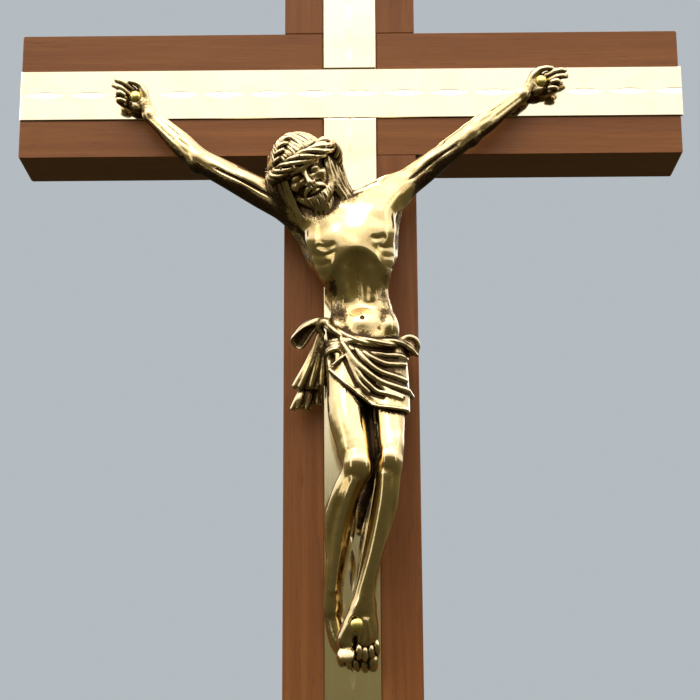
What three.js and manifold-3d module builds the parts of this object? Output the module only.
// Wall crucifix: a half-lapped wooden cross with brass inlay strips, a cast brass corpus held by three nails,
// a blank titulus plate, and a ring hanger let into the back. Millimetres, +Z up.
// The origin is on the back face at the centre of the crossing.
// +X is the viewer's right, and +Y points into the wall, so the front faces -Y.
import * as THREE from "three";
import { mergeVertices } from "three/addons/utils/BufferGeometryUtils.js";
import Module from "manifold-3d";

const wasm = await Module();
wasm.setup();

// ---------------------------------------------------------------- driving dimensions
const timber = { width: 30, thickness: 16 };
const beamLength = 152;
const postTop = 59;
const postBottom = -195;
const glueGap = 0.05; // between the cheeks and shoulders of the half lap
const strip = { width: 12, thickness: 1, grooveDepth: 0.6, sideGap: 0.05, overhang: 0.4 };
const castingClearance = 0.3; // between the strips and the flat back of the corpus
const handNail = { shank: 0.8, head: 1.45, headHeight: 1.1, length: 13 };
const feetNail = { shank: 0.9, head: 1.6, headHeight: 1.3, length: 17 };
const nailHoleGap = 0.15;
const beyond = 5; // how far a cutter runs past the surface that it opens
const titulus = { width: 26, height: 11, thickness: 0.8, z: 37, border: 0.9, borderRise: 0.35 };
const titulusPin = { shank: 0.5, head: 0.95, headHeight: 0.6, length: 6, x: 9.5 };
const pocket = { width: 16, bottom: 25, top: 54, depth: 5.5 };
const hanger = { width: 8, top: 49.5, thickness: 1, notch: 2.2, z: 39 };
const barrel = { length: 3, radius: 1.8, bore: 1.1 };
const ring = { radius: 5.35, wire: 0.65 };
const brad = { shank: 0.6, head: 1.4, headHeight: 0.7, length: 7, zs: [42.7, 47] };
const roundSides = 16;

const half = timber.width / 2;
const frontY = -timber.thickness;
const stripBackY = frontY + strip.grooveDepth;
const stripFrontY = stripBackY - strip.thickness;
const castingBackY = stripFrontY - castingClearance;

// ---------------------------------------------------------------- finishes
const finish = (color, roughness, metalness) =>
  new THREE.MeshStandardMaterial({ color, roughness, metalness });
const walnut = finish(0x7c4a2c, 0.6, 0);
const walnutBeam = finish(0x84502f, 0.6, 0);
const satinBrass = finish(0xe2cf95, 0.25, 1);
const agedBrass = finish(0xb39352, 0.3, 1);
const nailBrass = finish(0xd8be4e, 0.25, 1);
const zincSteel = finish(0xa8a8a4, 0.4, 1);

// ---------------------------------------------------------------- solids
// A closed geometry as a solid: only the positions are kept, and corners that meet are merged.
function solid(geometry) {
  const bare = new THREE.BufferGeometry();
  bare.setAttribute("position", geometry.getAttribute("position"));
  bare.setIndex(geometry.index);
  const merged = mergeVertices(bare, 1e-4);
  const vertProperties = merged.getAttribute("position").array;
  const triVerts = new Uint32Array(merged.index.array);
  return new wasm.Manifold(new wasm.Mesh({ numProp: 3, vertProperties, triVerts }));
}

function geometryOf(manifold) {
  const mesh = manifold.getMesh();
  const positions = new Float32Array(mesh.numVert * 3);
  for (let i = 0; i < mesh.numVert; i++) {
    positions.set(mesh.vertProperties.subarray(i * mesh.numProp, i * mesh.numProp + 3), i * 3);
  }
  const geometry = new THREE.BufferGeometry();
  geometry.setAttribute("position", new THREE.BufferAttribute(positions, 3));
  geometry.setIndex(new THREE.BufferAttribute(new Uint32Array(mesh.triVerts), 1));
  geometry.computeVertexNormals();
  return geometry;
}

// A box from its lowest to its highest corner.
function box([x0, y0, z0], [x1, y1, z1]) {
  const geometry = new THREE.BoxGeometry(x1 - x0, y1 - y0, z1 - z0);
  geometry.translate((x0 + x1) / 2, (y0 + y1) / 2, (z0 + z1) / 2);
  return solid(geometry);
}

// A round pin of the given profile, [radius, distance] pairs, along +Y from the point start.
function turnedAlongY(profile, start, sides = roundSides) {
  const points = profile.map(([radius, distance]) => new THREE.Vector2(radius, distance));
  const geometry = new THREE.LatheGeometry(points, sides);
  geometry.translate(start.x, start.y, start.z);
  return geometry;
}

function hole(x, z, radius, fromY, toY) {
  const profile = [[0, 0], [radius, 0], [radius, toY - fromY], [0, toY - fromY]];
  return solid(turnedAlongY(profile, new THREE.Vector3(x, fromY, z)));
}

// A domed nail whose head bears at bearingY and whose point lies deeper, towards +Y.
function nailGeometry(size, x, bearingY, z) {
  const dome = [];
  const steps = 4;
  for (let i = 0; i <= steps; i++) {
    const angle = (Math.PI / 2) * (i / steps);
    dome.push([size.head * Math.sin(angle), -size.headHeight * Math.cos(angle)]);
  }
  const tip = size.length - size.headHeight;
  const profile = [...dome, [size.shank, 0.05], [size.shank, tip - 2 * size.shank], [0, tip]];
  return turnedAlongY(profile, new THREE.Vector3(x, bearingY, z));
}

function part(name, geometry, material) {
  const mesh = new THREE.Mesh(geometry, material);
  mesh.name = name;
  return mesh;
}

// ---------------------------------------------------------------- where the nails go
// stand is the height above the wood's front face.
const nails = {
  hand_nail_right: { size: handNail, x: -49, z: -1.8, stand: 3.7 },
  hand_nail_left: { size: handNail, x: 43.8, z: 1.2, stand: 3.7 },
  feet_nail: { size: feetNail, x: 0.8, z: -122, stand: 8.6 },
};

function nailHoles(fromY, names = Object.keys(nails)) {
  return names.map((name) => {
    const { size, x, z, stand } = nails[name];
    const tipY = frontY - stand + size.length - size.headHeight + nailHoleGap;
    return hole(x, z, size.shank + nailHoleGap, fromY, tipY);
  });
}

const without = (body, cutters) => cutters.reduce((left, cutter) => left.subtract(cutter), body);

// ---------------------------------------------------------------- the wooden cross
const groove = strip.width / 2 + strip.sideGap;
const titulusPinHoles = (fromY) => [-1, 1].map((side) =>
  hole(side * titulusPin.x, titulus.z, titulusPin.shank + nailHoleGap, fromY, frontY + titulusPin.length));

const bradHolesFrom = (fromY) => brad.zs.map((z) => hole(0, z, brad.shank + nailHoleGap, fromY, beyond));

function post() {
  const blank = box([-half, frontY, postBottom], [half, 0, postTop]);
  const lapFloor = (frontY + glueGap) / 2;
  const lap = box([-half - 1, frontY - 1, -half - glueGap], [half + 1, lapFloor, half + glueGap]);
  const inlayGroove = box([-groove, frontY - 1, postBottom - 1], [groove, stripBackY, postTop + 1]);
  const pocketX = pocket.width / 2;
  const hangerPocket = box([-pocketX, -pocket.depth, pocket.bottom], [pocketX, beyond, pocket.top]);
  const bradHoles = bradHolesFrom(-pocket.depth - brad.length);
  const cuts = [lap, inlayGroove, hangerPocket, ...bradHoles, ...titulusPinHoles(frontY - 1)];
  return geometryOf(without(blank, [...cuts, ...nailHoles(frontY - 1, ["feet_nail"])]));
}

function crossbeam() {
  const end = beamLength / 2;
  const blank = box([-end, frontY, -half], [end, 0, half]);
  const lapFloor = (frontY - glueGap) / 2;
  const lap = box([-half - glueGap, lapFloor, -half - 1], [half + glueGap, 1, half + 1]);
  const inlayGroove = box([-end - 1, frontY - 1, -groove], [end + 1, stripBackY, groove]);
  const crossGroove = box([-groove, frontY - 1, -half - 1], [groove, stripBackY, half + 1]);
  const holes = nailHoles(frontY - 1, ["hand_nail_right", "hand_nail_left"]);
  return geometryOf(without(blank, [lap, inlayGroove, crossGroove, ...holes]));
}

// ---------------------------------------------------------------- inlay strips
function inlay([x0, z0], [x1, z1], nailNames) {
  const blank = box([x0, stripFrontY, z0], [x1, stripBackY - 0.05, z1]);
  return geometryOf(without(blank, nailHoles(stripFrontY - 1, nailNames)));
}

// The horizontal strip is in one length, and the other two butt against its edges.
function inlays() {
  const across = strip.width / 2;
  const butt = across + 0.1;
  const beamEnd = beamLength / 2;
  const handNails = ["hand_nail_right", "hand_nail_left"];
  const horizontal = inlay([-beamEnd, -across], [beamEnd + strip.overhang, across], handNails);
  const upper = inlay([-across, butt], [across, postTop], []);
  const lower = inlay([-across, postBottom], [across, -butt], ["feet_nail"]);
  return [
    part("strip_horizontal", horizontal, satinBrass),
    part("strip_upper", upper, satinBrass),
    part("strip_lower", lower, satinBrass),
  ];
}

// ---------------------------------------------------------------- the corpus
// Points on the figure are [x, stand, z], where stand is the height above the wood's front face.
const at = ([x, stand, z]) => new THREE.Vector3(x, frontY - stand, z);
const towards = ([x, stand, z]) => new THREE.Vector3(x, -stand, z);
const viewerSide = towards([0, 1, 0]);

// Places a shape so that its Y axis runs along yAxis and its Z axis faces front as nearly as it can.
function standing(yAxis, front, position) {
  const zAxis = front.clone().addScaledVector(yAxis, -front.dot(yAxis)).normalize();
  const xAxis = new THREE.Vector3().crossVectors(yAxis, zAxis);
  return new THREE.Matrix4().makeBasis(xAxis, yAxis, zAxis).setPosition(position);
}

// A tapered rounded limb between two points, with its breadths at equal steps along it.
// depth is its thickness towards the viewer over its breadth.
function limb(from, to, breadths, { depth = 1, sides = 12 } = {}) {
  const start = at(from);
  const along = at(to).sub(start);
  const length = along.length();
  const capSteps = 2;
  const first = breadths[0] / 2;
  const last = breadths[breadths.length - 1] / 2;
  const profile = [];
  for (let i = 0; i < capSteps; i++) {
    const angle = (Math.PI / 2) * (i / capSteps);
    profile.push(new THREE.Vector2(first * Math.sin(angle), -first * 0.8 * Math.cos(angle)));
  }
  breadths.forEach((breadth, i) => {
    profile.push(new THREE.Vector2(breadth / 2, (length * i) / (breadths.length - 1)));
  });
  for (let i = capSteps - 1; i >= 0; i--) {
    const angle = (Math.PI / 2) * (i / capSteps);
    profile.push(new THREE.Vector2(last * Math.sin(angle), length + last * 0.8 * Math.cos(angle)));
  }
  profile[0].x = 0;
  profile[profile.length - 1].x = 0;
  const yAxis = along.clone().normalize();
  const geometry = new THREE.LatheGeometry(profile, sides).scale(1, 1, depth);
  return solid(geometry.applyMatrix4(standing(yAxis, viewerSide, start)));
}

// An ellipsoid with half sizes [across, along, depth]; up is the direction of its along axis.
function ellipsoid(centre, [across, along, depth], { up = [0, 0, 1], front = [0, 1, 0] } = {}) {
  const geometry = new THREE.SphereGeometry(1, 16, 10).scale(across, along, depth);
  return solid(geometry.applyMatrix4(standing(towards(up).normalize(), towards(front), at(centre))));
}

const joints = {
  neck: [-1.5, 9, -31],
  shoulders: [[-10.5, 7.5, -32], [9.5, 7.5, -27]],
  elbows: [[-34, 5.5, -17.6], [27.2, 5.5, -12]],
  wrists: [[-45.6, 3, -6], [39.4, 3, -1.4]],
  hips: [[-0.6, 7.5, -66], [7, 7, -66]],
  knees: [[1, 13.5, -90], [7.6, 13.5, -89.5]],
  ankles: [[-2.6, 4, -117], [2.8, 7.5, -116]],
};
const head = { centre: [-8.5, 14, -25], up: [-0.42, 0.42, 1], front: [-0.1, 1, -0.42] };
const fold = (count, make) => Array.from({ length: count }, (_, i) => make(i));

function arm(side) {
  const [shoulder, elbow, wrist] = [joints.shoulders[side], joints.elbows[side], joints.wrists[side]];
  const nail = nails[side === 0 ? "hand_nail_right" : "hand_nail_left"];
  const palm = [nail.x, 2.3, nail.z];
  const reach = new THREE.Vector2(palm[0] - wrist[0], palm[2] - wrist[2]).normalize();
  const across = new THREE.Vector2(-reach.y, reach.x);
  const point = (forward, sideways, stand) => {
    const x = palm[0] + reach.x * forward + across.x * sideways;
    return [x, stand, palm[2] + reach.y * forward + across.y * sideways];
  };
  const fingers = fold(4, (i) => {
    const sideways = (i - 1.5) * 1.15;
    return limb(point(1.4, sideways, 2.6), point(5.6, sideways * 0.8, 4.4), [1.25, 1.2, 0.9], { sides: 8 });
  });
  const thumbSide = side === 0 ? -1 : 1;
  const thumbRoot = point(-1, thumbSide * 1.7, 2.6);
  const thumb = limb(thumbRoot, point(2.4, thumbSide * 2.5, 4.2), [1.5, 1.4, 1], { sides: 8 });
  return [
    limb(shoulder, elbow, [7.4, 6.8, 6.2, 5.4], { depth: 0.95 }),
    limb(elbow, wrist, [5.5, 5.3, 4.4, 3.5], { depth: 0.85 }),
    limb(wrist, point(1.8, 0, 2.3), [3.4, 4.6, 5], { depth: 0.55 }),
    ...fingers,
    thumb,
  ];
}

function leg(side) {
  const [hip, knee, ankle] = [joints.hips[side], joints.knees[side], joints.ankles[side]];
  const calf = knee.map((value, i) => value + (ankle[i] - value) * 0.32);
  calf[1] -= 1.8;
  return [
    limb(hip, knee, [9.4, 8.6, 7.4, 6.4], { depth: 1 }),
    ellipsoid([knee[0], knee[1] + 0.8, knee[2]], [3.1, 3.6, 3]),
    limb(knee, ankle, [5.8, 5.4, 4.2, 3.3]),
    ellipsoid(calf, [3, 7.2, 3.2], { up: [ankle[0] - knee[0], ankle[1] - knee[1], ankle[2] - knee[2]] }),
  ];
}

function feet() {
  const toes = fold(5, (i) => {
    const size = i === 0 ? 2.5 : 1.7 - 0.1 * i;
    const x = i === 0 ? -1 : -0.2 + 1.3 * i;
    return limb([x, 5.6 - 0.3 * i, -125.4 + 0.4 * i], [x, 3.6, -129.6 + 0.4 * i], [size, size], { sides: 8 });
  });
  return [
    limb(joints.ankles[1], [1.7, 5.2, -125], [4, 5.2, 7], { depth: 0.7 }),
    limb(joints.ankles[0], [-1.6, 2.4, -125], [3.8, 4.6, 4.8], { depth: 0.8 }),
    ...toes,
  ];
}

function torso() {
  const [right, left] = joints.shoulders;
  return [
    limb([0, 7.8, -34], [0.9, 8.2, -45], [17, 19.5, 18.6, 16], { depth: 0.66, sides: 16 }),
    limb([0.9, 8, -44], [2.4, 7.8, -60], [16, 13.6, 12.8, 14.6], { depth: 0.7, sides: 16 }),
    limb(right, left, [7.5, 8, 7.5], { depth: 0.9 }),
    ellipsoid([-4.2, 11, -38], [5, 5, 3.6]),
    ellipsoid([5.2, 11, -36.6], [5, 5, 3.6]),
    ellipsoid([2.6, 10.4, -57], [5, 4.6, 4]),
  ];
}

function headAndHair() {
  const [x, stand, z] = head.centre;
  const up = towards(head.up).normalize();
  const browHeight = 2.2;
  const crown = new THREE.TorusGeometry(5.3, 1, 8, 20).rotateX(Math.PI / 2).scale(1, 1, 1.15);
  crown.applyMatrix4(standing(up, towards(head.front), at(head.centre).addScaledVector(up, browHeight)));
  return [
    limb(joints.neck, [x + 1.6, stand - 3, z - 2], [7, 6, 6.4]),
    ellipsoid([x, stand, z], [5.6, 7.4, 6.4], { up: head.up, front: head.front }),
    ellipsoid([x + 2.6, stand + 1.2, z - 6.4], [3.2, 4.6, 3.2], { up: head.up }),
    limb([x - 4.6, stand - 1.5, z - 1], [x - 2.6, stand - 4.4, z - 10.5], [5, 4.6, 3]),
    limb([x + 5, stand - 2, z + 1], [x + 7.6, stand - 3.4, z - 7.5], [4.6, 4.2, 3]),
    solid(crown),
  ];
}

function loincloth() {
  return [
    limb([2.6, 7.8, -61.5], [3.2, 7.6, -71.5], [17.2, 18.6, 19.4], { depth: 0.74, sides: 16 }),
    limb([-6, 8, -58.5], [3, 14, -63], [2.4, 2.6, 2.8], { sides: 8 }),
    limb([3, 14, -63], [13.6, 8, -63.2], [2.8, 2.6, 2.6], { sides: 8 }),
    limb([-6, 8, -58.6], [-12.4, 6.6, -62], [3, 4.6, 3], { depth: 0.8, sides: 8 }),
    limb([-6.2, 7.4, -60], [-9.4, 5.6, -75], [2.4, 4, 6, 5.6], { depth: 0.6, sides: 10 }),
    limb([12.4, 7, -62], [13.6, 6.6, -64.4], [3, 3.4], { depth: 0.8, sides: 8 }),
  ];
}

function corpus() {
  const limbs = [...arm(0), ...arm(1), ...leg(0), ...leg(1), ...feet()];
  const pieces = [...torso(), ...limbs, ...headAndHair(), ...loincloth()];
  const figure = pieces.reduce((whole, piece) => whole.add(piece));
  const behind = box([-80, castingBackY, -150], [80, beyond, 30]);
  // A flat spot under each nail head gives the head a seat.
  const seats = Object.values(nails).map(({ size, x, z, stand }) =>
    hole(x, z, size.head + nailHoleGap, frontY - stand - 6, frontY - stand + nailHoleGap));
  return geometryOf(without(figure, [behind, ...seats, ...nailHoles(frontY - 12)]));
}

function nailParts() {
  return Object.entries(nails).map(([name, { size, x, z, stand }]) =>
    part(name, nailGeometry(size, x, frontY - stand, z), nailBrass));
}

// ---------------------------------------------------------------- titulus
const titulusBackY = stripFrontY - 0.05;
const titulusFrontY = titulusBackY - titulus.thickness;

function titulusPlate() {
  const { width, height, z, border, borderRise } = titulus;
  const [endX, halfHeight] = [width / 2, height / 2];
  const [fieldX, fieldHalf] = [endX - border, halfHeight - border];
  const rimY = titulusFrontY - borderRise;
  const blank = box([-endX, rimY, z - halfHeight], [endX, titulusBackY, z + halfHeight]);
  const field = box([-fieldX, titulusFrontY - beyond, z - fieldHalf], [fieldX, titulusFrontY, z + fieldHalf]);
  return geometryOf(without(blank, [field, ...titulusPinHoles(titulusFrontY - beyond)]));
}

function titulusPins() {
  return [["titulus_pin_right", -1], ["titulus_pin_left", 1]].map(([name, side]) =>
    part(name, nailGeometry(titulusPin, side * titulusPin.x, titulusFrontY - 0.05, titulus.z), nailBrass));
}

// ---------------------------------------------------------------- ring hanger
const plateBackY = -pocket.depth + 0.05;
const barrelY = plateBackY + barrel.radius;

// A cylinder along X, centred on the axis that the ring swings about.
function onRingAxis(radius, length) {
  const outline = new THREE.Shape().absarc(0, 0, radius, 0, Math.PI * 2);
  const options = { depth: length, bevelEnabled: false, curveSegments: roundSides / 2 };
  const geometry = new THREE.ExtrudeGeometry(outline, options).translate(0, 0, -length / 2);
  return solid(geometry.rotateY(Math.PI / 2).translate(0, barrelY, hanger.z));
}

function hangerPlate() {
  const { width, thickness, top, notch, z } = hanger;
  const plate = box([-width / 2, plateBackY, z], [width / 2, plateBackY + thickness, top]);
  // The plate is notched either side of the barrel, so that the ring can swing.
  const notches = [-1, 1].map((side) => {
    const [low, high] = [side * (barrel.length / 2), side * width].sort((a, b) => a - b);
    return box([low, plateBackY - 1, z - 1], [high, beyond, z + notch]);
  });
  const cuts = [onRingAxis(barrel.bore, 2 * width), ...notches, ...bradHolesFrom(plateBackY - 1)];
  return geometryOf(without(plate.add(onRingAxis(barrel.radius, barrel.length)), cuts));
}

function hangerRing() {
  const torus = new THREE.TorusGeometry(ring.radius, ring.wire, 8, 32);
  return torus.rotateX(Math.PI / 2).translate(0, barrelY, hanger.z - ring.radius);
}

function hangerBrads() {
  const names = ["hanger_brad_lower", "hanger_brad_upper"];
  const seatY = plateBackY + hanger.thickness + 0.05;
  return names.map((name, i) => {
    const geometry = nailGeometry(brad, 0, 0, 0).rotateZ(Math.PI).translate(0, seatY, brad.zs[i]);
    return part(name, geometry, zincSteel);
  });
}

// ---------------------------------------------------------------- assembly
const crucifix = new THREE.Group();
crucifix.add(
  part("post", post(), walnut),
  part("crossbeam", crossbeam(), walnutBeam),
  ...inlays(),
  part("corpus", corpus(), agedBrass),
  ...nailParts(),
  part("titulus_plate", titulusPlate(), agedBrass),
  ...titulusPins(),
  part("hanger_plate", hangerPlate(), zincSteel),
  part("hanger_ring", hangerRing(), zincSteel),
  ...hangerBrads(),
);

export default crucifix;
